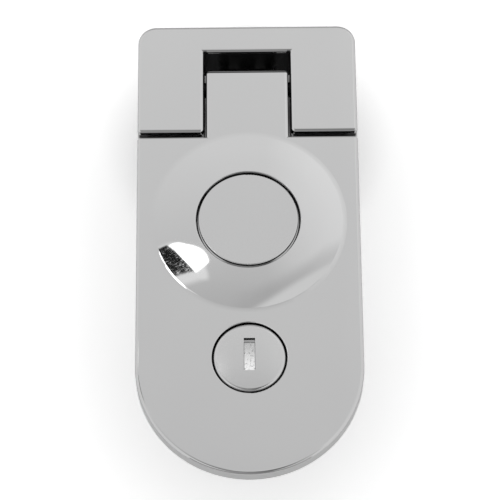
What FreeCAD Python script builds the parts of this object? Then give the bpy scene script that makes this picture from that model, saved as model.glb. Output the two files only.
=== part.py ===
import FreeCAD, Part
import Sketcher
import math
import os

# Compression latch: flush lift lever with a push button and a key lock.
# Millimetres. The origin is the centre of the four fixing holes on the flange's underside.
# +Z points out of the panel, +Y to the hinge end, +X to the right seen from the front.

os.makedirs("parts", exist_ok=True)
doc = FreeCAD.newDocument("compression_latch")
V = FreeCAD.Vector

SIZES = {
    # plan
    "half_width": 28.5,
    "top_end": 62.25,
    "round_centre": -33.75,
    "corner_radius": 4.8,
    "ear_end": 31.15,
    "shoulder_gap": 1.2,
    "recess_half": 11.3,
    "recess_end": 54.64,
    "tongue_half": 10.7,
    "tongue_end": 49.55,
    "tray_inset": 2.5,
    # levels
    "face_level": 7.5,
    "tray_top": 3.0,
    "lever_foot": 3.5,
    "skin": 2.2,
    "wall": 1.8,
    "edge_round": 0.85,
    # dome, button and its cup
    "button_y": 5.75,
    "dome_margin": 3.9,
    "dome_rise": 1.54,
    "button_top": 8.6,
    "button_radius": 12.65,
    "button_bore": 13.3,
    "cup_bore": 14.3,
    "cup_radius": 15.8,
    "cup_foot": -3.0,
    "lug_reach": 2.4,
    # lock
    "lock_y": -31.55,
    "plug_rim": 1.1,
    "plug_gap": 0.32,
    "lock_body_radius": 8.0,
    "slot_width": 2.8,
    "slot_length": 8.6,
    "slot_shift": 0.8,
    "lock_foot": -12.6,
    # hinge
    "pivot_y": 45.5,
    "pivot_z": 3.0,
    "pin_radius": 2.0,
    "hub_radius": 4.2,
    # pawl and bumper
    "strap_thick": 3.5,
    "strap_reach": 24.5,
    "bumper_reach": 20.1,
    "bolt_x": 3.7,
    "bolt_z": -6.5,
    # housing behind the flange
    "bay_lip": -11.1,
    "lip_width": 2.9,
    "lip_top": -3.2,
    "lip_foot": -6.2,
    "bay_end": 22.6,
    "housing_wall": 2.0,
    "housing_foot": -12.0,
    "hole_x": 20.0,
    "hole_y": 38.0,
    "hole_radius": 1.65,
    # fits
    "running": 0.05,
    "free_gap": 0.3,
}

# widths that follow from the sizes above
BAY_HALF = "(cup_radius + lug_reach + 0.4)"
SCREW_X = "(cup_radius + 0.7)"
DOME_RADIUS = "min(half_width - dome_margin; ear_end - button_y - 0.8)"
TAIL_BACK = "(pivot_y + 3.5)"
PLUG_RADIUS = "(lock_body_radius + plug_rim)"
LOCK_BORE = "(lock_body_radius + plug_rim + plug_gap)"
PLUG_CORE = "(lock_body_radius - 2)"
LOCK_BAY = "(lock_body_radius + 3.5)"
SHUTTER_Y = "(lock_y + slot_shift + slot_length / 2 - 0.65)"
SHUTTER_Z = 6.65

sheet = doc.addObject("Spreadsheet::Sheet", "sizes")
for row, (name, value) in enumerate(SIZES.items(), 1):
    sheet.set(f"A{row}", name)
    sheet.set(f"B{row}", str(value))
    sheet.setAlias(f"B{row}", name)
scratch_cells = doc.addObject("Spreadsheet::Sheet", "worked")
known = {}
doc.recompute()


def size(name):
    """A driving dimension, read from the sheet."""
    return float(getattr(sheet, name))


def cell(text):
    """An expression with the sheet's names written out in full."""
    words = sorted(SIZES, key=len, reverse=True)
    out, i = "", 0
    while i < len(text):
        word = next((w for w in words if text.startswith(w, i)), None)
        if word and (i == 0 or not (text[i - 1].isalnum() or text[i - 1] == "_")):
            out += "sizes." + word
            i += len(word)
        else:
            out += text[i]
            i += 1
    return out


def value(text):
    """The number that such an expression stands for."""
    if not isinstance(text, str):
        return float(text)
    return float(worked_out(text))


def worked_out(text):
    """Works out an expression in a cell of the second sheet, once for each expression."""
    if text not in known:
        scratch_cells.set("A1", "=" + cell(text))
        scratch_cells.recompute()
        known[text] = scratch_cells.get("A1")
    return known[text]


def bind(obj, prop, text):
    """Binds a property to an expression of the sheet, or sets a plain number."""
    if isinstance(text, str):
        obj.setExpression(prop, cell(text))
    else:
        setattr(obj, prop, text)


def new_body(name):
    body = doc.addObject("PartDesign::Body", name)
    body.Label = name
    return body


def plane_of(body, role):
    """One of the body's own origin planes: XY_Plane, XZ_Plane or YZ_Plane."""
    return next(f for f in body.Origin.OriginFeatures if f.Role == role)


def new_sketch(body, name, role="XY_Plane", level=None):
    sketch = body.newObject("Sketcher::SketchObject", name)
    sketch.AttachmentSupport = [(plane_of(body, role), "")]
    sketch.MapMode = "FlatFace"
    if level is not None:
        bind(sketch, "AttachmentOffset.Base.z", level if isinstance(level, str) else str(level))
    return sketch


def pin_point(sketch, geo, pos, x, y):
    """Holds a sketch point at x, y from the sketch's origin. None leaves a coordinate free."""
    for kind, text in (("DistanceX", x), ("DistanceY", y)):
        if text is None:
            continue
        number = value(text)
        index = sketch.addConstraint(Sketcher.Constraint(kind, -1, 1, geo, pos, number))
        if isinstance(text, str):
            sketch.setExpression(f"Constraints[{index}]", cell(text))


def loop(sketch, points):
    """A closed outline of straight lines through the points."""
    at = [V(value(x), value(y), 0) for x, y in points]
    first = sketch.GeometryCount
    count = len(at)
    for i in range(count):
        sketch.addGeometry(Part.LineSegment(at[i], at[(i + 1) % count]), False)
    for i in range(count):
        sketch.addConstraint(
            Sketcher.Constraint("Coincident", first + i, 2, first + (i + 1) % count, 1)
        )
    for i, (x, y) in enumerate(points):
        pin_point(sketch, first + i, 1, x, y)


def ring(sketch, x, y, radius):
    """A full circle."""
    circle = Part.Circle(V(value(x), value(y), 0), V(0, 0, 1), value(radius))
    geo = sketch.addGeometry(circle, False)
    pin_point(sketch, geo, 3, x, y)
    index = sketch.addConstraint(Sketcher.Constraint("Radius", geo, value(radius)))
    if isinstance(radius, str):
        sketch.setExpression(f"Constraints[{index}]", cell(radius))


def half_round(sketch, half, centre_y, top_points):
    """An outline whose low end is a half circle; top_points run from the right to the left side."""
    r, yc = value(half), value(centre_y)
    at = [V(r, yc, 0)] + [V(value(x), value(y), 0) for x, y in top_points] + [V(-r, yc, 0)]
    first = sketch.GeometryCount
    count = len(at) - 1
    for i in range(count):
        sketch.addGeometry(Part.LineSegment(at[i], at[i + 1]), False)
    arc = Part.ArcOfCircle(Part.Circle(V(0, yc, 0), V(0, 0, 1), r), math.pi, 2 * math.pi)
    arc_geo = sketch.addGeometry(arc, False)
    for i in range(count - 1):
        sketch.addConstraint(Sketcher.Constraint("Coincident", first + i, 2, first + i + 1, 1))
    sketch.addConstraint(Sketcher.Constraint("Coincident", first + count - 1, 2, arc_geo, 1))
    sketch.addConstraint(Sketcher.Constraint("Coincident", arc_geo, 2, first, 1))
    pin_point(sketch, first, 1, half, centre_y)
    for i, (x, y) in enumerate(top_points):
        pin_point(sketch, first + 1 + i, 1, x, y)
    pin_point(sketch, arc_geo, 3, 0.0, centre_y)
    pin_point(sketch, arc_geo, 1, None, centre_y)


def box_loop(sketch, x0, x1, y0, y1):
    loop(sketch, [(x0, y0), (x1, y0), (x1, y1), (x0, y1)])


def pad(body, sketch, name, length, reverse=False):
    feature = body.newObject("PartDesign::Pad", name)
    feature.Profile = sketch
    bind(feature, "Length", length)
    feature.Reversed = reverse
    doc.recompute()
    return feature


def pocket(body, sketch, name, length, reverse=False):
    before = body.Shape.Volume
    feature = body.newObject("PartDesign::Pocket", name)
    feature.Profile = sketch
    bind(feature, "Length", length)
    feature.Reversed = reverse
    doc.recompute()
    if body.Shape.Volume > before - 0.001:
        raise RuntimeError(f"{body.Name}: {name} removes nothing")
    return feature


def turn(body, sketch, name, cut=False, axis="V_Axis"):
    """A revolved feature about the sketch's own axis."""
    before = body.Shape.Volume if cut else 0
    feature = body.newObject("PartDesign::Groove" if cut else "PartDesign::Revolution", name)
    feature.Profile = sketch
    feature.ReferenceAxis = (sketch, [axis])
    feature.Angle = 360
    doc.recompute()
    if cut and body.Shape.Volume > before - 0.001:
        raise RuntimeError(f"{body.Name}: {name} removes nothing")
    return feature


def edges_where(shape, test):
    """Names of the edges whose middle and ends pass the test."""
    names = []
    for i, edge in enumerate(shape.Edges, 1):
        a, b = edge.ParameterRange
        points = [edge.valueAt(a), edge.valueAt((a + b) / 2), edge.valueAt(b)]
        if all(test(p) for p in points):
            names.append(f"Edge{i}")
    return names


def round_edges(body, name, radius, test, chamfer=False):
    names = edges_where(body.Shape, test)
    if not names:
        raise RuntimeError(f"{body.Name}: no edges for {name}")
    base = body.Tip
    feature = body.newObject("PartDesign::Chamfer" if chamfer else "PartDesign::Fillet", name)
    feature.Base = (base, names)
    bind(feature, "Size" if chamfer else "Radius", radius)
    doc.recompute()
    return feature


def near(a, b, tolerance=0.02):
    return abs(a - b) < tolerance


def bore(body, name, spots, radius, level, length, role="XY_Plane", reverse=False):
    """Round holes cut from a level: downwards, or upwards when reversed."""
    sketch = new_sketch(body, name + "_sketch", role, level)
    for x, y in spots:
        ring(sketch, x, y, radius)
    return pocket(body, sketch, name, length, reverse)


def boss(body, name, spots, radius, level, length, role="XY_Plane"):
    sketch = new_sketch(body, name + "_sketch", role, level)
    for x, y in spots:
        ring(sketch, x, y, radius)
    return pad(body, sketch, name, length)


def bar(body, name, box, level, length, role="XY_Plane"):
    """A rectangular block: box is x0, x1, y0, y1 in the sketch's plane."""
    sketch = new_sketch(body, name + "_sketch", role, level)
    box_loop(sketch, *box)
    return pad(body, sketch, name, length)


def notch(body, name, box, level, length, role="XY_Plane", reverse=False):
    sketch = new_sketch(body, name + "_sketch", role, level)
    box_loop(sketch, *box)
    return pocket(body, sketch, name, length, reverse)


def spun(body, name, points, centre_y, cut=False, centre_x=None):
    """A turned shape about an upright axis at centre_y: points are radius, height."""
    sketch = new_sketch(body, name + "_sketch", "XZ_Plane", f"-({centre_y})")
    if centre_x is not None:
        bind(sketch, "AttachmentOffset.Base.x", centre_x)
    loop(sketch, points)
    return turn(body, sketch, name, cut)


def build_housing():
    """Ear block, tray, the bays behind the flange and the lip: one die casting."""
    body = new_body("housing")
    tray = new_sketch(body, "tray_sketch", level="0")
    side = "half_width - tray_inset"
    half_round(tray, side, "round_centre", [(side, "ear_end + 1"), (f"-({side})", "ear_end + 1")])
    pad(body, tray, "tray", "tray_top")
    ears = ("-half_width", "half_width", "ear_end", "top_end")
    bar(body, "ear_block", ears, "0", "face_level")
    outer = f"{BAY_HALF} + housing_wall"
    bay = (f"-({outer})", outer, "bay_lip - lip_width", "bay_end + housing_wall")
    bar(body, "button_bay", bay, "housing_foot - 4", "-housing_foot + 4.5")
    well_outer = "recess_half + housing_wall"
    well = (f"-({well_outer})", well_outer, "bay_end", "recess_end + housing_wall")
    bar(body, "well_walls", well, "housing_foot", "-housing_foot + 0.5")
    ring_sketch = new_sketch(body, "lock_bay_sketch", level="housing_foot")
    lock_outer = f"{LOCK_BAY} + housing_wall"
    lock_top = "bay_lip - lip_width + 1"
    half_round(
        ring_sketch, lock_outer, "lock_y", [(lock_outer, lock_top), (f"-({lock_outer})", lock_top)]
    )
    pad(body, ring_sketch, "lock_bay_walls", "-housing_foot + 0.5")
    boss(body, "hole_bosses", [("hole_x", "-hole_y"), ("-hole_x", "-hole_y")], 3.6, "0", 4.9)

    inner = (f"-{BAY_HALF}", BAY_HALF, "bay_lip", "bay_end")
    notch(body, "bay_pocket", inner, "tray_top", "tray_top - housing_foot + 2")
    lock_cut = new_sketch(body, "lock_cut_sketch", level="tray_top + 1")
    cut_top = "bay_lip - lip_width"
    half_round(lock_cut, LOCK_BAY, "lock_y", [(LOCK_BAY, cut_top), (f"-{LOCK_BAY}", cut_top)])
    pocket(body, lock_cut, "lock_cut", 30.0)
    above_lip = (f"-{LOCK_BAY}", LOCK_BAY, "bay_lip - lip_width - 0.5", "bay_lip + 0.5")
    notch(body, "above_lip", above_lip, "tray_top + 1", "tray_top + 1 - lip_top")
    under_lip = (-8.9, 8.9, "bay_lip - lip_width - 0.5", "bay_lip + 0.5")
    notch(body, "under_lip", under_lip, "lip_foot", "lip_foot - housing_foot + 2")
    recess = ("-recess_half", "recess_half", "bay_end - 0.5", "recess_end")
    notch(body, "recess", recess, "face_level + 1", "face_level + 1 - housing_foot + 2")
    floor_gap = ("-recess_half", "recess_half", "bay_end - 1", "bay_end + 5")
    notch(body, "floor_gap", floor_gap, "housing_foot - 1", 8.0)
    low_wall = (-14.0, 14.0, "recess_end - 0.01", "recess_end + housing_wall + 1")
    notch(body, "pawl_way", low_wall, -6.0, 12.0)

    top, right, low = size("top_end"), size("half_width"), size("ear_end")
    face, rim = size("face_level"), size("recess_half")
    round_edges(
        body,
        "top_corners",
        "corner_radius",
        lambda p: near(p.y, top) and near(abs(p.x), right),
    )
    round_edges(
        body,
        "inner_corners",
        1.0,
        lambda p: near(p.y, low) and near(abs(p.x), rim) and p.z > -0.1,
    )
    round_edges(
        body,
        "outer_corners",
        0.8,
        lambda p: near(p.y, low) and near(abs(p.x), right),
    )
    round_edges(body, "front_edges", "edge_round", lambda p: near(p.z, face))

    across = ("-half_width - 1", "2 * half_width + 2", "YZ_Plane", True)
    bore(body, "pin_bore", [("pivot_y", "pivot_z")], "pin_radius", *across)
    upper = [("hole_x", "hole_y"), ("-hole_x", "hole_y")]
    lower = [("hole_x", "-hole_y"), ("-hole_x", "-hole_y")]
    bore(body, "ear_holes", upper, "hole_radius", "0", 6.0, reverse=True)
    bore(body, "tray_holes", lower, "hole_radius", "0", 4.1, reverse=True)
    return body


def cap_sketch(body, name, radius, rise, base, centre_y, foot):
    """Half section of a shallow cap on a disc, for a turn about the upright axis."""
    sketch = new_sketch(body, name, "XZ_Plane", f"-({centre_y})")
    r, h, z = value(radius), value(rise), value(base)
    ball = (r * r + h * h) / (2 * h)
    centre = V(0, z + h - ball, 0)
    start = math.atan2(ball - h, r)
    points = [V(0, value(foot), 0), V(r, value(foot), 0), V(r, z, 0), V(0, z + h, 0)]
    sketch.addGeometry(Part.LineSegment(points[0], points[1]), False)
    sketch.addGeometry(Part.LineSegment(points[1], points[2]), False)
    arc = Part.ArcOfCircle(Part.Circle(centre, V(0, 0, 1), ball), start, math.pi / 2)
    sketch.addGeometry(arc, False)
    sketch.addGeometry(Part.LineSegment(points[3], points[0]), False)
    for a, ap, b, bp in ((0, 2, 1, 1), (1, 2, 2, 1), (2, 2, 3, 1), (3, 2, 0, 1)):
        sketch.addConstraint(Sketcher.Constraint("Coincident", a, ap, b, bp))
    pin_point(sketch, 0, 1, 0.0, foot)
    pin_point(sketch, 1, 1, radius, foot)
    pin_point(sketch, 2, 1, radius, base)
    pin_point(sketch, 3, 1, 0.0, f"{base} + {rise}")
    pin_point(sketch, 2, 3, 0.0, None)
    return sketch


def build_lever():
    """Shell lever: face, walls, dome, button cup, lock seat, tongue, hub and tail."""
    body = new_body("lever")
    shoulder = "ear_end - shoulder_gap"
    outline = new_sketch(body, "outline_sketch", level="lever_foot")
    half_round(
        outline,
        "half_width",
        "round_centre",
        [
            ("half_width", shoulder),
            ("tongue_half", shoulder),
            ("tongue_half", "tongue_end"),
            ("-tongue_half", "tongue_end"),
            ("-tongue_half", shoulder),
            ("-half_width", shoulder),
        ],
    )
    pad(body, outline, "plate", "face_level - lever_foot")
    hollow = new_sketch(body, "hollow_sketch", level="lever_foot")
    inner = "half_width - wall"
    end = f"{shoulder} - wall"
    half_round(hollow, inner, "round_centre", [(inner, end), (f"-({inner})", end)])
    pocket(body, hollow, "hollow", "face_level - skin - lever_foot", reverse=True)
    hub_spot = [("pivot_y", "pivot_z")]
    boss(body, "hub", hub_spot, "hub_radius", "-tongue_half", "2 * tongue_half - 3.6", "YZ_Plane")
    bar(body, "tail", ("pivot_y - 3.2", TAIL_BACK, -12.0, "pivot_z"), -6.9, 13.8, "YZ_Plane")
    boss(body, "cup", [(0.0, "button_y")], "cup_radius", "cup_foot", "face_level - skin - cup_foot")
    near_x, far_x = "cup_radius - 0.8", "cup_radius + lug_reach"
    for name, x0, x1 in (
        ("right_lug", near_x, far_x),
        ("left_lug", f"-({far_x})", f"-({near_x})"),
    ):
        lug = (x0, x1, "button_y - 2.6", "button_y + 2.6")
        bar(body, name, lug, "cup_foot", "face_level - skin - cup_foot")
    boss(body, "lock_seat", [(0.0, "lock_y")], "lock_body_radius + 2.7", 3.1, "face_level - skin - 3.1")

    face = size("face_level")
    stop = size("tongue_end")
    round_edges(body, "tongue_edge", 1.4, lambda p: near(p.z, face) and near(p.y, stop))
    low, right = value(shoulder), size("half_width")
    round_edges(body, "shoulders", 0.8, lambda p: near(p.y, low) and near(abs(p.x), right))
    round_edges(
        body, "face_edges", "edge_round", lambda p: near(p.z, face) and p.y < stop - 0.9
    )
    dome = cap_sketch(
        body, "dome_sketch", DOME_RADIUS, "dome_rise", "face_level", "button_y", "face_level - 1"
    )
    turn(body, dome, "dome")

    def on_ring(radius, centre_y):
        wanted, middle = value(radius), value(centre_y)
        return lambda p: near(math.hypot(p.x, p.y - middle), wanted) and p.z > face - 0.01

    round_edges(body, "dome_foot", 9.0, on_ring(DOME_RADIUS, "button_y"))
    lip = "face_level - 1.45"
    cup = [
        (0.0, "cup_foot - 1"),
        ("cup_bore", "cup_foot - 1"),
        ("cup_bore", lip),
        ("button_bore", lip),
        ("button_bore", "face_level + 4"),
        (0.0, "face_level + 4"),
    ]
    spun(body, "cup_bores", cup, "button_y", cut=True)
    seat = [
        (0.0, 0.0),
        ("lock_body_radius + running", 0.0),
        ("lock_body_radius + running", 4.7),
        (LOCK_BORE, 4.7),
        (LOCK_BORE, "face_level + 1"),
        (0.0, "face_level + 1"),
    ]
    spun(body, "lock_bores", seat, "lock_y", cut=True)
    round_edges(body, "button_hole_edge", 0.25, on_ring("button_bore", "button_y"))
    round_edges(body, "lock_hole_edge", 0.2, on_ring(LOCK_BORE, "lock_y"))
    slot = ("tongue_half - 3.6", "tongue_half + 0.5", 34.5, "tongue_end - 0.8")
    notch(body, "spring_slot", slot, 2.5, 3.6, reverse=True)
    pin_spot = [("pivot_y", "pivot_z")]
    across = ("-half_width", "2 * half_width", "YZ_Plane", True)
    bore(body, "pin_way", pin_spot, "pin_radius + running", *across)
    bolts = [("bolt_x", "bolt_z"), ("-bolt_x", "bolt_z")]
    bore(body, "bolt_bores", bolts, 2.05, "-pivot_y - 6", 12.0, "XZ_Plane", True)
    screws = [(SCREW_X, "button_y"), (f"-{SCREW_X}", "button_y")]
    bore(body, "screw_bores", screws, 0.9, "cup_foot", 6.0, reverse=True)
    return body


def build_gasket():
    """Flat rubber seal with room for the walls and the four screws."""
    body = new_body("gasket")
    edge = "half_width - 3"
    outline = new_sketch(body, "outline_sketch", level=-1.5)
    half_round(
        outline, edge, "round_centre", [(edge, "top_end - 1.2"), (f"-({edge})", "top_end - 1.2")]
    )
    pad(body, outline, "sheet", 1.5)
    out = f"{BAY_HALF} + housing_wall + free_gap"
    bay = (f"-({out})", out, "bay_lip - lip_width - free_gap", "bay_end + housing_wall + free_gap")
    notch(body, "bay_opening", bay, "1", 4.0)
    well_half = "recess_half + housing_wall + free_gap"
    well_top = "recess_end + housing_wall + free_gap"
    notch(body, "well_opening", (f"-({well_half})", well_half, "bay_end", well_top), "1", 4.0)
    ring_half = f"{LOCK_BAY} + housing_wall + free_gap"
    opening = new_sketch(body, "lock_opening_sketch", level="1")
    half_round(
        opening, ring_half, "lock_y", [(ring_half, "bay_lip"), (f"-({ring_half})", "bay_lip")]
    )
    pocket(body, opening, "lock_opening", 4.0)
    spots = [(f"{a}hole_x", f"{b}hole_y") for a in ("", "-") for b in ("", "-")]
    bore(body, "screw_openings", spots, 2.6, "1", 4.0)
    return body


def build_pivot_pin():
    body = new_body("pivot_pin")
    boss(
        body, "rod", [("pivot_y", "pivot_z")], "pin_radius", "0.3 - half_width",
        "2 * half_width - 0.6", "YZ_Plane",
    )
    ends = size("half_width") - 0.3
    round_edges(body, "ends", 0.4, lambda p: near(abs(p.x), ends), chamfer=True)
    return body


def build_push_button():
    """Round disc with its step, stop flange and stem; the stem ends in a 45 degree wedge."""
    body = new_body("push_button")
    step = "button_bore - running - 0.05"
    profile = [
        (0.0, -9.0),
        (4.0, -9.0),
        (4.0, 5.2),
        ("cup_bore - 0.1", 5.2),
        ("cup_bore - 0.1", "face_level - 1.45"),
        (step, "face_level - 1.45"),
        (step, "button_top - 1.0"),
        ("button_radius", "button_top - 0.8"),
        ("button_radius", "button_top"),
        (0.0, "button_top"),
    ]
    spun(body, "turned", profile, "button_y")
    rim, top, middle = size("button_radius"), size("button_top"), size("button_y")
    round_edges(
        body, "rim", 0.25, lambda p: near(p.z, top) and near(math.hypot(p.x, p.y - middle), rim)
    )
    wedge = new_sketch(body, "wedge_sketch", "YZ_Plane", -5.0)
    corner = "button_y + 4"
    loop(
        wedge,
        [(corner, -5.25), (f"{corner} + 2", -5.25), (f"{corner} + 2", -9.5), (f"{corner} - 4.25", -9.5)],
    )
    pocket(body, wedge, "wedge", 10.0, reverse=True)
    return body


def build_guide_plate():
    """Closes the button's cup, guides the stem and carries the slider's rails."""
    body = new_body("guide_plate")
    spot = [(0.0, "button_y")]
    boss(body, "plate", spot, "cup_radius", "cup_foot - 2", 2.0)
    ears = ("-(cup_radius + lug_reach)", "cup_radius + lug_reach", "button_y - 2.6", "button_y + 2.6")
    bar(body, "ears", ears, "cup_foot - 2", 2.0)
    for name, x in (("right_rail", 6.3), ("left_rail", -8.6)):
        bar(body, name, (x, x + 2.3, -6.5, 19.0), -9.6, 4.7)
    bar(body, "spring_stop", (-6.4, 6.4, 17.0, 19.0), -9.6, 4.7)
    bore(body, "stem_bore", spot, "4 + running", "0", 8.0)
    screws = [(SCREW_X, "button_y"), (f"-{SCREW_X}", "button_y")]
    bore(body, "screw_bores", screws, 1.25, "0", 8.0)
    taps = [(x, y) for x in (7.45, -7.45) for y in (-4.5, 16.5)]
    bore(body, "cover_taps", taps, 0.6, -9.6, 3.5, reverse=True)
    return body


def build_catch_slider():
    """Hook under the lip: the window's sloping wall is pushed by the stem's wedge."""
    body = new_body("catch_slider")
    side = new_sketch(body, "side_sketch", "YZ_Plane", -6.0)
    nose = "bay_lip - 1.8"
    loop(
        side,
        [
            (nose, "lip_foot - 0.2"),
            (nose, "lip_foot - 1.6"),
            (f"{nose} + 1.5", -9.3),
            (10.0, -9.3),
            (10.0, -5.3),
            ("bay_lip + 0.7", -5.3),
            ("bay_lip + 0.7", "lip_foot - 0.2"),
        ],
    )
    pad(body, side, "bar", 12.0)
    window = new_sketch(body, "window_sketch", "YZ_Plane", -4.3)
    slope = "button_y + 4.1"
    loop(window, [(-1.7, -4.9), (f"{slope} + 0.35", -4.9), (f"{slope} - 4.65", -9.9), (-1.7, -9.9)])
    pocket(body, window, "window", 8.6, reverse=True)
    bore(body, "spring_seat", [(0.0, -7.3)], 2.1, -10.5, 1.9, "XZ_Plane", True)
    return body


def build_catch_cover():
    body = new_body("catch_cover")
    bar(body, "plate", (-8.6, 8.6, -6.5, 19.0), -10.6, 1.0)
    notch(body, "stem_window", (-4.6, 4.6, 1.2, 8.8), "0", 20.0)
    holes = [(x, y) for x in (7.45, -7.45) for y in (-4.5, 16.5)]
    bore(body, "holes", holes, 0.85, "0", 20.0)
    return body


def screw_set(name, spots, head_radius, head, shank_radius, length, level, drive=0.7):
    """Screws pointing up from below: a head under the level and a shank above it."""
    solids = []
    for x, y in spots:
        top = Part.makeCylinder(head_radius, head, V(x, y, level - head))
        shank = Part.makeCylinder(shank_radius, length, V(x, y, level))
        socket = Part.makeCylinder(head_radius * 0.5, head * drive, V(x, y, level - head))
        solids.append(top.fuse(shank).cut(socket).removeSplitter())
    return code_part(name, Part.makeCompound(solids))


def code_part(name, shape):
    """A sub-part whose shape is made in code from the sheet's sizes."""
    feature = doc.addObject("Part::Feature", name)
    feature.Label = name
    feature.Shape = shape
    return feature


def build_screws():
    x, y = value(SCREW_X), size("button_y")
    guide = screw_set(
        "guide_screws", [(x, y), (-x, y)], 1.7, 1.4, 0.9, 6.5, size("cup_foot") - 2
    )
    spots = [(x, y) for x in (7.45, -7.45) for y in (-4.5, 16.5)]
    cover = screw_set("cover_screws", spots, 1.1, 0.7, 0.6, 4.0, -10.6)
    return [guide, cover]


def build_lock_body():
    body = new_body("lock_body")
    inner = f"{PLUG_CORE} + running"
    profile = [
        (inner, "lock_foot"),
        ("lock_body_radius", "lock_foot"),
        ("lock_body_radius", 5.5),
        (PLUG_RADIUS, 5.5),
        (PLUG_RADIUS, 6.3),
        (inner, 6.3),
    ]
    spun(body, "turned", profile, "lock_y")
    return body


def build_lock_seal():
    body = new_body("lock_seal")
    inner, outer = "lock_body_radius", PLUG_RADIUS
    spun(body, "ring", [(inner, 4.7), (outer, 4.7), (outer, 5.5), (inner, 5.5)], "lock_y")
    return body


def build_lock_plug():
    """Key face with the slot, core and square tang."""
    body = new_body("lock_plug")
    cap = cap_sketch(body, "cap_sketch", PLUG_RADIUS, "0.3", "face_level", "lock_y", 6.35)
    turn(body, cap, "cap")
    rim, face = value(PLUG_RADIUS), size("face_level")
    lock_y = size("lock_y")
    round_edges(
        body, "rim", 0.9, lambda p: near(p.z, face) and near(math.hypot(p.x, p.y - lock_y), rim)
    )
    boss(body, "core", [(0.0, "lock_y")], PLUG_CORE, "lock_foot - 0.05", 19.1)
    bar(body, "tang", (-3.0, 3.0, "lock_y - 3", "lock_y + 3"), -14.7, 2.1)
    half, middle = "slot_width / 2", "lock_y + slot_shift"
    length = "slot_length / 2"
    slot = (f"-({half})", half, f"{middle} - {length}", f"{middle} + {length}")
    notch(body, "key_slot", slot, "face_level + 1", 14.0)
    hinge = [(SHUTTER_Y, SHUTTER_Z)]
    bore(body, "shutter_bore", hinge, 0.35, -2.6, 5.2, "YZ_Plane", True)
    bore(body, "cam_tap", [(0.0, "lock_y")], 1.25, -15.0, 6.0, reverse=True)
    return body


def build_key_shutter():
    """Spring flap that closes the key slot, on its own small pin."""
    body = new_body("key_shutter")
    half = "slot_width / 2 - 0.08"
    length = "slot_width - 0.16"
    hinge_y = SHUTTER_Y
    low_y = "lock_y + slot_shift - slot_length / 2 + 0.1"
    flap = (low_y, hinge_y, SHUTTER_Z - 0.3, SHUTTER_Z + 0.35)
    bar(body, "flap", flap, f"-({half})", length, "YZ_Plane")
    boss(body, "barrel", [(hinge_y, SHUTTER_Z)], 0.6, f"-({half})", length, "YZ_Plane")
    bore(body, "pin_way", [(hinge_y, SHUTTER_Z)], 0.39, -3.0, 6.0, "YZ_Plane", True)
    return body


def build_shutter_pin():
    body = new_body("shutter_pin")
    hinge = [(SHUTTER_Y, SHUTTER_Z)]
    boss(body, "rod", hinge, 0.35, -2.6, 5.2, "YZ_Plane")
    return body


def hexagon(across, height, centre):
    """An upright hexagonal prism."""
    corner = across / math.sqrt(3)
    points = [
        V(corner * math.cos(math.radians(a)), corner * math.sin(math.radians(a)), 0)
        for a in range(0, 361, 60)
    ]
    prism = Part.Face(Part.makePolygon(points)).extrude(V(0, 0, height))
    prism.translate(centre)
    return prism


def build_lock_nut():
    """Thin round nut with two flats on the lock body."""
    spot = V(0, size("lock_y"), 0.9)
    thread, thick = size("lock_body_radius"), 2.2
    rim, flat = thread + 2.5, thread + 1.0
    disc = Part.makeCylinder(rim, thick, spot)
    flats = Part.makeBox(2 * flat, 2 * rim, thick, V(-flat, spot.y - rim, spot.z))
    hole = Part.makeCylinder(thread, 3, V(0, spot.y, 0.5))
    return code_part("lock_nut", disc.common(flats).cut(hole))


def build_lock_cam():
    """Flat arm on the tang: it points to the button when open and turns under the wall."""
    body = new_body("lock_cam")
    boss(body, "root", [(0.0, "lock_y")], 6.8, -14.6, 1.9)
    bar(body, "arm", (-4.0, 4.0, "lock_y", "lock_y + 15"), -14.6, 1.9)
    tip = value("lock_y + 15")
    round_edges(body, "tip", 2.0, lambda p: near(p.y, tip) and near(abs(p.x), 4.0))
    notch(body, "square", (-3.0, 3.0, "lock_y - 3", "lock_y + 3"), "0", 20.0)
    return body


def build_pawl():
    """Bent steel strap on the lever's tail; its end reaches behind the frame."""
    body = new_body("pawl")
    side = new_sketch(body, "side_sketch", "YZ_Plane", -7.5)
    # the inner bends stand off by the thickness times the tangent of half of each bend's angle
    front, back = TAIL_BACK, f"{TAIL_BACK} + strap_thick"
    knee, heel = "pivot_y + 14.3", "pivot_y + 14.3 + 0.26 * strap_thick"
    low, bend = "-19.5 + strap_thick", "-13.5 + 0.5885 * strap_thick"
    tip = "pivot_y + strap_reach"
    loop(side, [(front, -1.5), (front, -13.5), (knee, -19.5), (tip, -19.5)]
         + [(tip, low), (heel, low), (back, bend), (back, -1.5)])
    pad(body, side, "strap", 15.0)
    end = value(tip)
    round_edges(body, "end_corners", 3.0, lambda p: near(p.y, end) and near(abs(p.x), 7.5))
    bends = ((front, -13.5, 4.0), (knee, -19.5, 4.0), (back, bend, 1.5), (heel, low, 1.5))
    for i, (across, level, radius) in enumerate(bends):
        y, z = value(across), value(level)
        round_edges(body, f"bend_{i}", radius, lambda p: near(p.y, y) and near(p.z, z))
    bolts = [("bolt_x", "bolt_z"), ("-bolt_x", "bolt_z")]
    bore(body, "bolt_bores", bolts, 2.05, "-pivot_y - 14.5", 15.0, "XZ_Plane", True)
    bore(body, "bumper_bore", [(0.0, "pivot_y + bumper_reach")], 2.55, "0", 30.0)
    return body


def build_pawl_bolts():
    """Two M4 bolts through the strap and the tail."""
    solids = []
    seat, z = value(f"{TAIL_BACK} + strap_thick"), size("bolt_z")
    for x in (size("bolt_x"), -size("bolt_x")):
        head = Part.makeCylinder(3.4, 1.8, V(x, seat, z), V(0, 1, 0))
        socket = Part.makeCylinder(1.4, 1.2, V(x, seat + 0.6, z), V(0, 1, 0))
        shank = Part.makeCylinder(2.0, 14.0, V(x, seat - 14, z), V(0, 1, 0))
        solids.append(head.fuse(shank).cut(socket).removeSplitter())
    return code_part("pawl_bolts", Part.makeCompound(solids))


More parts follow.
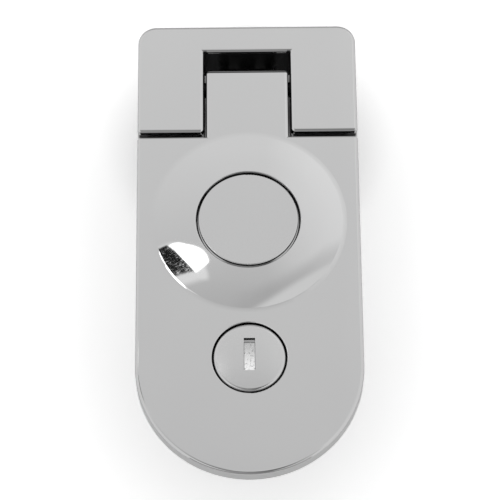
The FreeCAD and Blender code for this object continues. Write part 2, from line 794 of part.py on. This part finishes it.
def build_pawl_nuts():
    solids = []
    for x in (size("bolt_x"), -size("bolt_x")):
        nut = hexagon(7.0, 2.9, V(0, 0, 0))
        nut.rotate(V(0, 0, 0), V(0, 0, 1), 30)
        nut = nut.cut(Part.makeCylinder(2.0, 6, V(0, 0, -1)))
        nut.rotate(V(0, 0, 0), V(1, 0, 0), 90)
        nut.translate(V(x, size("pivot_y") - 3.2, size("bolt_z")))
        solids.append(nut)
    return code_part("pawl_nuts", Part.makeCompound(solids))


def build_bumper():
    """Adjusting screw, its two lock nuts and the rubber cap."""
    y = value("pivot_y + bumper_reach")
    rod = Part.makeCylinder(2.5, 13.0, V(0, y, -24.5))
    slot = Part.makeBox(6.0, 0.9, 1.0, V(-3.0, y - 0.45, -24.6))
    screw = code_part("bumper_screw", rod.cut(slot))
    hole = Part.makeCylinder(2.5, 30, V(0, y, -30))
    nuts = [hexagon(8.0, 2.7, V(0, y, z)).cut(hole) for z in (-16.0, -22.2)]
    nuts = code_part("bumper_nuts", Part.makeCompound(nuts))
    cap = Part.makeCylinder(4.2, 4.4, V(0, y, -13.3))
    rim = [e for e in cap.Edges if near(e.BoundBox.ZMin, -8.9) and near(e.BoundBox.ZMax, -8.9)]
    cap = cap.makeFillet(1.0, rim)
    seat = Part.makeCylinder(2.5, 1.8, V(0, y, -13.3))
    rubber = code_part("rubber_bumper", cap.cut(seat))
    return [screw, nuts, rubber]


def build_cam_screw():
    y = size("lock_y")
    head = Part.makeCylinder(3.6, 1.2, V(0, y, -15.9))
    socket = Part.makeCylinder(1.6, 0.9, V(0, y, -15.9))
    shank = Part.makeCylinder(1.25, 5.0, V(0, y, -14.7))
    return code_part("cam_screw", head.fuse(shank).cut(socket).removeSplitter())


def coil(radius, wire, turns, height):
    """A closed round wire swept along a helix about +Z, starting on +X at height 0."""
    path = Part.makeHelix(height / turns, height, radius)
    section = Part.Wire(Part.makeCircle(wire, V(radius, 0, 0), V(0, 1, 0)))
    return Part.Wire(path).makePipeShell([section], True, True)


def build_button_spring():
    spring = coil(9.0, 0.5, 3.0, 7.1)
    spring.translate(V(0, size("button_y"), size("cup_foot") + 0.55))
    return code_part("button_spring", spring)


def build_catch_spring():
    spring = coil(1.6, 0.25, 4.0, 7.7)
    spring.rotate(V(0, 0, 0), V(1, 0, 0), -90)
    spring.translate(V(0, 8.95, -7.3))
    return code_part("catch_spring", spring)


def build_lever_spring():
    """Torsion spring round the pin: one leg under the lever's face, one on the well's wall."""
    pitch, turns, radius, wire = 0.95, 2.5, 2.45, 0.35
    spring = coil(radius, wire, turns, pitch * turns)
    spring.rotate(V(0, 0, 0), V(0, 1, 0), 90)
    leg_one = Part.makeCylinder(wire, 10.0, V(pitch * turns, 0.3, radius), V(0, -1, 0.02))
    leg_two = Part.makeCylinder(wire, 8.8, V(0, -0.3, -radius), V(0, 1, -0.12))
    spring = spring.fuse([leg_one, leg_two]).removeSplitter()
    spring.translate(V(7.6, size("pivot_y"), size("pivot_z")))
    return code_part("lever_spring", spring)


def build_rest_pads():
    pads = [
        Part.makeCylinder(2.2, 2.25, V(x, y, size("tray_top")))
        for x in (size("half_width") - 5.9, 5.9 - size("half_width"))
        for y in (14.0, -22.0)
    ]
    return code_part("rest_pads", Part.makeCompound(pads))


def build_all():
    parts = [
        build_housing(),
        build_gasket(),
        build_lever(),
        build_pivot_pin(),
        build_lever_spring(),
        build_push_button(),
        build_button_spring(),
        build_guide_plate(),
        build_catch_slider(),
        build_catch_spring(),
        build_catch_cover(),
        build_lock_body(),
        build_lock_seal(),
        build_lock_plug(),
        build_key_shutter(),
        build_shutter_pin(),
        build_lock_nut(),
        build_lock_cam(),
        build_cam_screw(),
        build_pawl(),
        build_pawl_bolts(),
        build_pawl_nuts(),
        build_rest_pads(),
    ]
    parts += build_screws()
    parts += build_bumper()
    return parts


def write(parts):
    """Checks every object and writes each sub-part to its own file."""
    doc.recompute()
    for item in doc.Objects:
        if "Invalid" in item.State or "Error" in item.State:
            raise RuntimeError(f"{item.Name} is not valid: {item.State}")
    for part in parts:
        shape = part.Shape
        if shape.isNull() or not shape.isValid():
            raise RuntimeError(f"{part.Label} has no valid shape")
        print(part.Label, len(shape.Solids), round(shape.Volume, 2), shape.BoundBox)
        shape.exportStep(f"parts/{part.Label}.step")


write(build_all())
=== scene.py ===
import math

import bpy
import numpy as np
from mathutils import Matrix, Vector


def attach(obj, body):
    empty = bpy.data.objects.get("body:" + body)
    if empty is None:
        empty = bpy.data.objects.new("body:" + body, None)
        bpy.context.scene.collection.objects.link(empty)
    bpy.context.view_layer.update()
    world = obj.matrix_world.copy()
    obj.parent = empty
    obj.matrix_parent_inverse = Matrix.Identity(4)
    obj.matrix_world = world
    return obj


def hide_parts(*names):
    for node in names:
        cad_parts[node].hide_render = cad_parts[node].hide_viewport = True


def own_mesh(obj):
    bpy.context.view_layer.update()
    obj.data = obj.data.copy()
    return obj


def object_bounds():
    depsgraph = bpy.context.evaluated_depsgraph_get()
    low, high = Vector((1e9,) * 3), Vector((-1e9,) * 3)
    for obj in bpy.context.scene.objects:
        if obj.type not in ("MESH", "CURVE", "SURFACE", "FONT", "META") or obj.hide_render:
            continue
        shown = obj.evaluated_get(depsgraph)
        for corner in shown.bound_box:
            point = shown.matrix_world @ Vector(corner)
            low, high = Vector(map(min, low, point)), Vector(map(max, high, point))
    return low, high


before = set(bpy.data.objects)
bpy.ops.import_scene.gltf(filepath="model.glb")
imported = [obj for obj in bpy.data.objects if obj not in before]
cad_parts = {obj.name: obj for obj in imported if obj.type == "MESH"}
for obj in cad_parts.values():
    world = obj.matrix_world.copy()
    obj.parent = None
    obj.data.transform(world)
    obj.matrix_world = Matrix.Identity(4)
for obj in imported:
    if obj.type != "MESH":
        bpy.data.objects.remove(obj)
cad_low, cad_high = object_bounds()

MM = 0.001
# the push button's and the key lock's upright axes, in metres
BUTTON_Y = 0.00575
LOCK_Y = -0.03155
FLOOR = cad_low[2] / MM - 0.05
SKY_HEIGHT = 1000.0


class Field:
    """A value that varies over a surface: one output socket, with sums and products as nodes."""

    def __init__(self, tree, socket):
        self.tree, self.socket = tree, socket

    def node(self, kind, out=0, settings=None, **inputs):
        """Any node: its settings are set first, then its sockets are filled or linked."""
        made = self.tree.nodes.new(kind)
        for key, setting in (settings or {}).items():
            setattr(made, key, setting)
        for key, given in inputs.items():
            name = key.strip("_").replace("__", " ")
            socket = made.inputs[int(name)] if name.isdigit() else made.inputs[name]
            if isinstance(given, Field):
                self.tree.links.new(given.socket, socket)
            else:
                socket.default_value = given
        return Field(self.tree, made.outputs[out])

    def math(self, operation, *values):
        inputs = {f"_{i}": v for i, v in enumerate(values)}
        return self.node("ShaderNodeMath", 0, dict(operation=operation), **inputs)

    def __add__(self, other):
        return self.math("ADD", self, other)

    def __radd__(self, other):
        return self.math("ADD", other, self)

    def __sub__(self, other):
        return self.math("SUBTRACT", self, other)

    def __rsub__(self, other):
        return self.math("SUBTRACT", other, self)

    def __mul__(self, other):
        return self.math("MULTIPLY", self, other)

    def __rmul__(self, other):
        return self.math("MULTIPLY", other, self)

    def __truediv__(self, other):
        return self.math("DIVIDE", self, other)

    def size(self):
        """The value without its sign."""
        return self.math("ABSOLUTE", self)

    def or_more(self, other):
        """The larger of two."""
        return self.math("MAXIMUM", self, other)

    def step(self, low, high):
        """0 below low, 1 above high, smooth between."""
        return self.node(
            "ShaderNodeMapRange",
            0,
            dict(interpolation_type="SMOOTHSTEP"),
            Value=self,
            From__Min=low,
            From__Max=high,
        )

    def fall(self, low, high):
        """1 below low, 0 above high, smooth between."""
        return 1.0 - self.step(low, high)

    def ramp(self, low, high, at_low, at_high):
        """A straight run between two values, held beyond its ends."""
        return self.node(
            "ShaderNodeMapRange",
            Value=self,
            From__Min=low,
            From__Max=high,
            To__Min=at_low,
            To__Max=at_high,
        )

    def mix(self, first, second):
        """Colour first where this is 0, second where it is 1."""
        return self.node(
            "ShaderNodeMix", 2, dict(data_type="RGBA"), _0=self, _6=first, _7=second
        )


def object_place(tree):
    """Each point's place in its own node, in metres."""
    coordinates = tree.nodes.new("ShaderNodeTexCoord")
    return Field(tree, coordinates.outputs["Object"])


def split(place):
    """The three coordinates of a place, each a field of its own."""
    axes = place.tree.nodes.new("ShaderNodeSeparateXYZ")
    place.tree.links.new(place.socket, axes.inputs[0])
    return [Field(place.tree, socket) for socket in axes.outputs]


def from_axis(x, y, centre_y):
    """Distance from an upright axis at x 0."""
    y = y - centre_y
    square = x * x + y * y
    return square.math("SQRT", square)


def noise(place, scale, detail=3.0, stretch=(1.0, 1.0, 1.0), rough=0.5):
    """Noise over the object's own coordinates; scale counts per metre."""
    mapped = place.node("ShaderNodeMapping", Vector=place, Scale=stretch)
    return place.node(
        "ShaderNodeTexNoise", 0, Vector=mapped, Scale=scale, Detail=detail, Roughness=rough
    )


def new_material(name, metallic):
    """A material with only its shader: returns it, the shader and the place field."""
    material = bpy.data.materials.new(name)
    material.use_nodes = True
    tree = material.node_tree
    tree.nodes.clear()
    shader = tree.nodes.new("ShaderNodeBsdfPrincipled")
    output = tree.nodes.new("ShaderNodeOutputMaterial")
    tree.links.new(shader.outputs[0], output.inputs[0])
    shader.inputs["Metallic"].default_value = metallic
    return material, shader, object_place(tree)


def feed(shader, socket, field):
    field.tree.links.new(field.socket, shader.inputs[socket])


def bump(shader, height, distance):
    """Fine relief; distance is its height in metres."""
    feed(shader, "Normal", height.node("ShaderNodeBump", 0, Height=height, Distance=distance))


def rgb(value, tint=(1.0, 1.0, 1.0)):
    return tuple(value * t for t in tint) + (1.0,)


def recess_shade(x, y, z):
    """Painted shade on the unlit depths of the lever and the ear block: recess, button groove,
    lock seat.
    """
    aside = x.size()
    # painted shade in the recess and the gaps beside the tongue, up to the tongue's rounded
    # sides
    lit = aside.ramp(0.0101, 0.0106, 0.0065, 0.0073)
    inside = (z - lit).fall(-0.0003, 0.0003) * y.step(0.0294, 0.0298)
    inside = inside * y.fall(0.0550, 0.0552) * aside.fall(0.01135, 0.0114)
    # painted shade on the ears' walls above the lever's shoulders
    ear_wall = y.step(0.0306, 0.0308) * y.fall(0.0312, 0.0313) * z.fall(0.0058, 0.0060)
    # painted reflection: the tongue's rounded end is darkened where it would mirror the dark
    # wall across the recess
    bend = y.step(0.0482, 0.0484) * y.fall(0.0497, 0.0498) * z.step(0.0050, 0.0055)
    bend = bend * aside.fall(0.0106, 0.0108) * (0.9 - 0.48 * y.step(0.0486, 0.0488))
    # painted shade in the button's hole, left off four short arcs of its rounded edge that stay
    # bright
    radius = from_axis(x, y, BUTTON_Y)
    groove = radius.fall(0.01332, 0.01336) * z.fall(0.0081, 0.0083)
    steep = (y - BUTTON_Y).size() / radius
    glint = steep.step(0.58, 0.64) * steep.fall(0.84, 0.90) * z.step(0.00785, 0.00795)
    groove = groove * (1.0 - glint)
    # painted shade in the lock's seat
    seat = from_axis(x, y, LOCK_Y).fall(0.00944, 0.00948) * z.fall(0.0064, 0.0067)
    return inside.or_more(ear_wall).or_more(bend).or_more(groove).or_more(seat)


def button_shade(x, y, z):
    """Painted shade on the button's side below its rim, and less so on the step at its foot."""
    radius = from_axis(x, y, BUTTON_Y)
    side = radius.step(0.01262, 0.01264) * z.fall(0.0081, 0.0083)
    return side * (1.0 - 0.75 * radius.step(0.01268, 0.01272))


def plug_shade(x, y, z):
    """Painted shade on the plug's side below its rounded rim."""
    return from_axis(x, y, LOCK_Y).step(0.00895, 0.009) * z.fall(0.0066, 0.0068)


def pin_shade(x, y, z):
    """Painted shade on the hinge pin where it crosses the recess."""
    return x.size().fall(0.0114, 0.0118)


def chrome(name, polish, shade):
    """Plated metal: soft cloudy haze, very fine polishing marks, rare pin-point specks and
    painted shade from the shade field.
    """
    material, shader, place = new_material(name, 1.0)
    cloud = noise(place, 22.0, 4.0).ramp(0.35, 0.7, 0.0, 1.0)
    fine = noise(place, 900.0, 2.0, (1.0, 0.06, 1.0))
    specks = noise(place, 2600.0, 1.0).step(0.78, 0.84)
    plating = (cloud * 0.8 + fine * 0.2).mix(rgb(0.55, (1.0, 1.0, 1.004)), rgb(0.5656))
    # painted shade: near black and rougher where the shade field is 1
    painted_dark = shade(*split(place))
    feed(shader, "Base Color", painted_dark.mix(plating, (0.02, 0.02, 0.021, 1.0)))
    rough = polish + 0.014 * cloud + 0.006 * fine + 0.05 * specks + 0.35 * painted_dark
    feed(shader, "Roughness", rough)
    return material


def brushed(name, tone, rough, tint=(1.0, 1.0, 1.0), along=(0.04, 1.0, 1.0)):
    """Turned or ground metal with a fine grain and a little dulling in patches."""
    material, shader, place = new_material(name, 1.0)
    lines = noise(place, 1400.0, 3.0, along)
    patches = noise(place, 60.0, 4.0).step(0.4, 0.75)
    shine = lines * 0.6 + patches * 0.4
    feed(shader, "Base Color", shine.mix(rgb(tone * 0.86, tint), rgb(tone, tint)))
    feed(shader, "Roughness", rough + 0.14 * lines + 0.08 * patches)
    bump(shader, lines, 0.000012)
    return material


def pitted_shaded_steel(name, dull, bright):
    """The dust shutter: pitted, with painted shading that lightens it towards its free end."""
    material, shader, place = new_material(name, 1.0)
    _, y, _ = split(place)
    # painted shading, lighter towards the free end
    painted_lightening = (LOCK_Y - y).step(-0.004, 0.003)
    pits = noise(place, 1700.0, 3.0).step(0.56, 0.66)
    shaded_tone = painted_lightening.mix(rgb(dull), rgb(bright))
    feed(shader, "Base Color", (pits * 0.6).mix(shaded_tone, rgb(dull * 0.7)))
    feed(shader, "Roughness", 0.22 + 0.2 * pits)
    bump(shader, pits, -0.00002)
    return material


def cast_metal(name, tone):
    """Die casting: fine orange-peel skin under its plating."""
    material, shader, place = new_material(name, 1.0)
    skin = noise(place, 1300.0, 3.0)
    cloud = noise(place, 30.0, 4.0)
    feed(shader, "Base Color", cloud.mix(rgb(tone * 0.95), rgb(tone * 1.02)))
    feed(shader, "Roughness", 0.12 + 0.1 * skin + 0.05 * cloud)
    bump(shader, skin, 0.000015)
    return material


def rubber(name, tone):
    """Black rubber: gritty, with a pale bloom in patches."""
    material, shader, place = new_material(name, 0.0)
    grit = noise(place, 2200.0, 3.0)
    bloom = noise(place, 90.0, 4.0).step(0.45, 0.8)
    feed(shader, "Base Color", bloom.mix(rgb(tone), rgb(tone * 2.2, (1.0, 1.0, 0.97))))
    feed(shader, "Roughness", 0.62 + 0.2 * grit)
    bump(shader, grit, 0.00003)
    return material


def plastic(name, tone):
    """Moulded acetal with a spark-eroded skin."""
    material, shader, place = new_material(name, 0.0)
    spark = noise(place, 1800.0, 2.0)
    cloud = noise(place, 70.0, 3.0)
    feed(shader, "Base Color", cloud.mix(rgb(tone), rgb(tone * 1.35)))
    feed(shader, "Roughness", 0.38 + 0.16 * spark)
    bump(shader, spark, 0.00002)
    return material


def paint(material, *nodes):
    for name in nodes:
        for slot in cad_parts[name].material_slots:
            slot.material = material


spring_steel = brushed("spring_steel", 0.32, 0.26)
paint(chrome("face_chrome", 0.02, recess_shade), "housing", "lever")
paint(chrome("button_chrome", 0.035, button_shade), "push_button")
paint(chrome("pin_chrome", 0.06, pin_shade), "pivot_pin")
paint(chrome("plug_chrome", 0.11, plug_shade), "lock_plug")
paint(pitted_shaded_steel("shutter_steel", 0.54, 0.94), "key_shutter")
paint(cast_metal("lock_casting", 0.6), "lock_body")
paint(rubber("black_rubber", 0.018), "gasket", "rest_pads", "lock_seal", "rubber_bumper")
paint(plastic("black_acetal", 0.03), "guide_plate")
paint(spring_steel, "lever_spring", "button_spring", "catch_spring")
paint(brushed("pawl_steel", 0.55, 0.28, (1.0, 0.995, 0.98), (1.0, 0.05, 1.0)), "pawl")
paint(
    brushed("zinc_plated_steel", 0.6, 0.24, (1.0, 1.0, 0.99)),
    "catch_slider", "catch_cover", "shutter_pin", "lock_nut", "lock_cam", "cam_screw",
    "pawl_bolts", "pawl_nuts", "guide_screws", "cover_screws", "bumper_screw", "bumper_nuts",
)


def add_object(name, data):
    made = bpy.data.objects.new(name, data)
    bpy.context.scene.collection.objects.link(made)
    return made


def coil(node, start, axis, across, radius, wire, turns, height):
    """A round wire on a helix, as a closed surface in millimetres.

    p(t, s) = start + (radius + wire cos s) e(t) + (height t / turns + wire sin s) axis, where
    e(t) = across cos 2 pi t + (axis x across) sin 2 pi t, t runs 0 to turns and s 0 to 2 pi.
    """
    axis, across = np.array(axis, float), np.array(across, float)
    t = np.linspace(0.0, turns, int(40 * turns) + 1)[:, None, None]
    s = np.linspace(0.0, 2 * math.pi, 12, endpoint=False)[None, :, None]
    out = across * np.cos(2 * math.pi * t) + np.cross(axis, across) * np.sin(2 * math.pi * t)
    points = start + (radius + wire * np.cos(s)) * out
    points = points + (height * t / turns + wire * np.sin(s)) * axis
    rings, sides = points.shape[:2]
    grid = np.arange(rings * sides).reshape(rings, sides)
    beside = np.roll(grid, -1, axis=1)
    skin = np.stack([grid[:-1], beside[:-1], beside[1:], grid[1:]], axis=-1).reshape(-1, 4)
    faces = [grid[0, ::-1].tolist(), grid[-1].tolist()] + skin.tolist()
    mesh = bpy.data.meshes.new(node + "_wire")
    mesh.from_pydata((points.reshape(-1, 3) * MM).tolist(), [], faces)
    mesh.polygons.foreach_set("use_smooth", [False, False] + [True] * len(skin))
    mesh.materials.append(spring_steel)
    spring = add_object(node + "_wire", mesh)
    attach(spring, "lift_lever")
    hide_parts(node)
    return spring


# the two compression springs stand in for their solids
lift = coil("button_spring", (0.0, 5.75, -2.45), (0, 0, 1), (1, 0, 0), 9.0, 0.5, 3.0, 7.1)
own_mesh(lift)
hook = coil("catch_spring", (0.0, 8.95, -7.3), (0, 1, 0), (1, 0, 0), 1.6, 0.25, 4.0, 7.7)
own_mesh(hook)


def card(name, corners, material):
    """One flat four-sided surface of the studio; its corners are in millimetres."""
    mesh = bpy.data.meshes.new(name)
    mesh.from_pydata([tuple(c * MM for c in corner) for corner in corners], [], [(0, 1, 2, 3)])
    mesh.materials.append(material)
    add_object(name, mesh)


def level_card(name, half, front, back, height, material):
    corners = [(-half, front), (half, front), (half, back), (-half, back)]
    card(name, [(x, y, height) for x, y in corners], material)


def upright_card(name, y, grey):
    """A grey surface far in front or behind, seen only in reflections."""
    material, emission = unseen_light(name)
    emission.inputs["Strength"].default_value = grey
    half = 1400.0
    low, high = FLOOR, SKY_HEIGHT
    card(name, [(-half, y, low), (half, y, low), (half, y, high), (-half, y, high)], material)


def unseen_light(name):
    """Plain light that the camera looks through: returns the material and its light."""
    material = bpy.data.materials.new(name)
    material.use_nodes = True
    tree = material.node_tree
    tree.nodes.clear()
    emission = tree.nodes.new("ShaderNodeEmission")
    clear = tree.nodes.new("ShaderNodeBsdfTransparent")
    ray = tree.nodes.new("ShaderNodeLightPath")
    mixer = tree.nodes.new("ShaderNodeMixShader")
    output = tree.nodes.new("ShaderNodeOutputMaterial")
    tree.links.new(ray.outputs["Is Camera Ray"], mixer.inputs[0])
    tree.links.new(emission.outputs[0], mixer.inputs[1])
    tree.links.new(clear.outputs[0], mixer.inputs[2])
    tree.links.new(mixer.outputs[0], output.inputs[0])
    return material, emission


def white_floor():
    """Pale floor that keeps the latch's shadow, with painted shadow under the hinge end; the
    camera sees it a little brighter, but less so there.
    """
    material, shader, place = new_material("floor_white", 0.0)
    grain = noise(place, 300.0, 2.0)
    white = grain.mix((0.97, 0.97, 0.97, 1.0), (0.99, 0.99, 0.99, 1.0))
    x, y, _ = split(place)
    # painted shadow on the floor under the open hinge, which shows through the gaps beside the
    # tongue
    painted_shadow = from_axis(x, y, 0.058).fall(0.0125, 0.024)
    feed(shader, "Base Color", painted_shadow.mix(white, (0.12, 0.12, 0.12, 1.0)))
    shader.inputs["Roughness"].default_value = 0.9
    shader.inputs["Specular IOR Level"].default_value = 0.0
    tree = material.node_tree
    ray = Field(tree, tree.nodes.new("ShaderNodeLightPath").outputs["Is Camera Ray"])
    # painted shadow as well: the brightening that only the camera sees fades out under the hinge
    # end
    brighter = ray * from_axis(x, y, 0.046).ramp(0.014, 0.040, 0.0, 1.0)
    feed(shader, "Emission Color", brighter.mix((0.0, 0.0, 0.0, 1.0), rgb(0.37)))
    shader.inputs["Emission Strength"].default_value = 1.0
    return material


def softbox():
    """The big light overhead, a metre up, with what else the chrome mirrors; in metres."""
    material, emission = unseen_light("sky_card")
    place = object_place(material.node_tree)
    x, y, _ = split(place)

    def squared(field, size):
        return (field / size) * (field / size)

    # brighter towards the hinge end and the right, grey low down in front
    rise = y.ramp(0.10, 0.30, 0.66, 0.885) + y.ramp(0.30, 0.80, 0.0, 0.165)
    rise = rise + x.ramp(0.06, 0.2, 0.0, 0.14) + x.ramp(0.19, 0.31, 0.0, 0.09)
    low_front = 0.45 - 0.25 * y.step(-0.30, -0.20)
    within = x.size().fall(0.30, 0.42)
    light = 1.0 - within * (1.0 - (low_front + (rise - low_front) * y.step(-0.14, -0.02)))
    # past the far end of the softbox
    light = light - (light - 0.62) * within * y.step(0.90, 0.94)
    # a window's soft light on the right, past a slanted edge, and its frame
    slant = (0.146 + 0.38 * x + 1.15 * x * x - y) * 0.78
    nearby = slant.step(-0.055, -0.010) * x.step(-0.08, 0.0)
    light = light - nearby * x.ramp(0.0, 0.2, 0.05, 0.19)
    window = slant.step(-0.006, 0.008) * x.step(-0.08, -0.03) * y.step(-0.06, 0.06)
    light = light + (1.02 - light) * window
    sash = slant.step(0.026, 0.032) * slant.fall(0.037, 0.046) * y.step(0.09, 0.12)
    light = light - 0.24 * sash
    # the lamp on the left: u runs along its lower edge and v away from it
    u = (x + 0.258) * 0.624 - (y - 0.376) * 0.782
    v = (x + 0.258) * 0.782 + (y - 0.376) * 0.624
    glow = (squared(u - 0.098, 0.118) + squared(v + 0.014, 0.062)).fall(0.6, 1.05)
    light = light + glow * y.step(0.224, 0.246) * 0.38
    lamp = (squared(u - 0.098, 0.096) + squared(v, 0.054)).fall(0.9, 1.07)
    lamp = lamp * u.fall(0.141, 0.148) * v.step(-0.001, 0.002)
    light = light + lamp * 2.2
    # the dark, mottled stand below it, cut off along a slanted line
    stand = v.fall(-0.002, 0.001) * y.step(0.262, 0.272) * x.step(-0.36, -0.33)
    past_line = (y - 0.356) * 0.905 - (x + 0.309) * 0.426
    stand = stand * past_line.fall(-0.003, 0.003)
    speckle = noise(place, 100.0, 5.0, (1.0, 1.8, 1.0), 0.8) + u.ramp(0.03, 0.13, 0.0, 0.07)
    light = light - stand * (light - (0.02 + 1.7 * speckle.step(0.57, 0.68)))
    feed(emission, "Color", light.node("ShaderNodeCombineXYZ", _0=light, _1=light, _2=light))
    return material


def surroundings():
    """Even white surroundings, as in a light tent."""
    world = bpy.data.worlds.new("white_surroundings")
    bpy.context.scene.world = world
    world.use_nodes = True
    back = world.node_tree.nodes["Background"]
    back.inputs["Color"].default_value = (1.0, 1.0, 1.0, 1.0)
    back.inputs["Strength"].default_value = 1.0


def camera():
    """The photo's view: lengths in millimetres, angles in degrees."""
    aim, distance, elevation, roll = (0.353, -2.39, 7.5), 645.3, 65.966, -0.54
    data = bpy.data.cameras.new("camera")
    data.lens = 183.56
    data.sensor_width = 36.0
    cam = add_object("camera", data)
    tilt = math.radians(elevation)
    back = (0.0, -math.cos(tilt), math.sin(tilt))
    cam.location = [(a + distance * b) * MM for a, b in zip(aim, back)]
    look = (-Vector(back)).to_track_quat("-Z", "Y").to_matrix()
    cam.rotation_mode = "QUATERNION"
    turned = look @ Matrix.Rotation(math.radians(roll), 3, "Z")
    cam.rotation_quaternion = turned.to_quaternion()
    bpy.context.scene.camera = cam


level_card("floor", 3000.0, -3000.0, 3000.0, FLOOR, white_floor())
level_card("sky_card", 420.0, -1500.0, 2000.0, SKY_HEIGHT, softbox())
upright_card("front_card", -1500.0, 0.42)
upright_card("back_card", 2000.0, 0.6)
surroundings()
camera()
bpy.context.scene.view_settings.view_transform = "Standard"
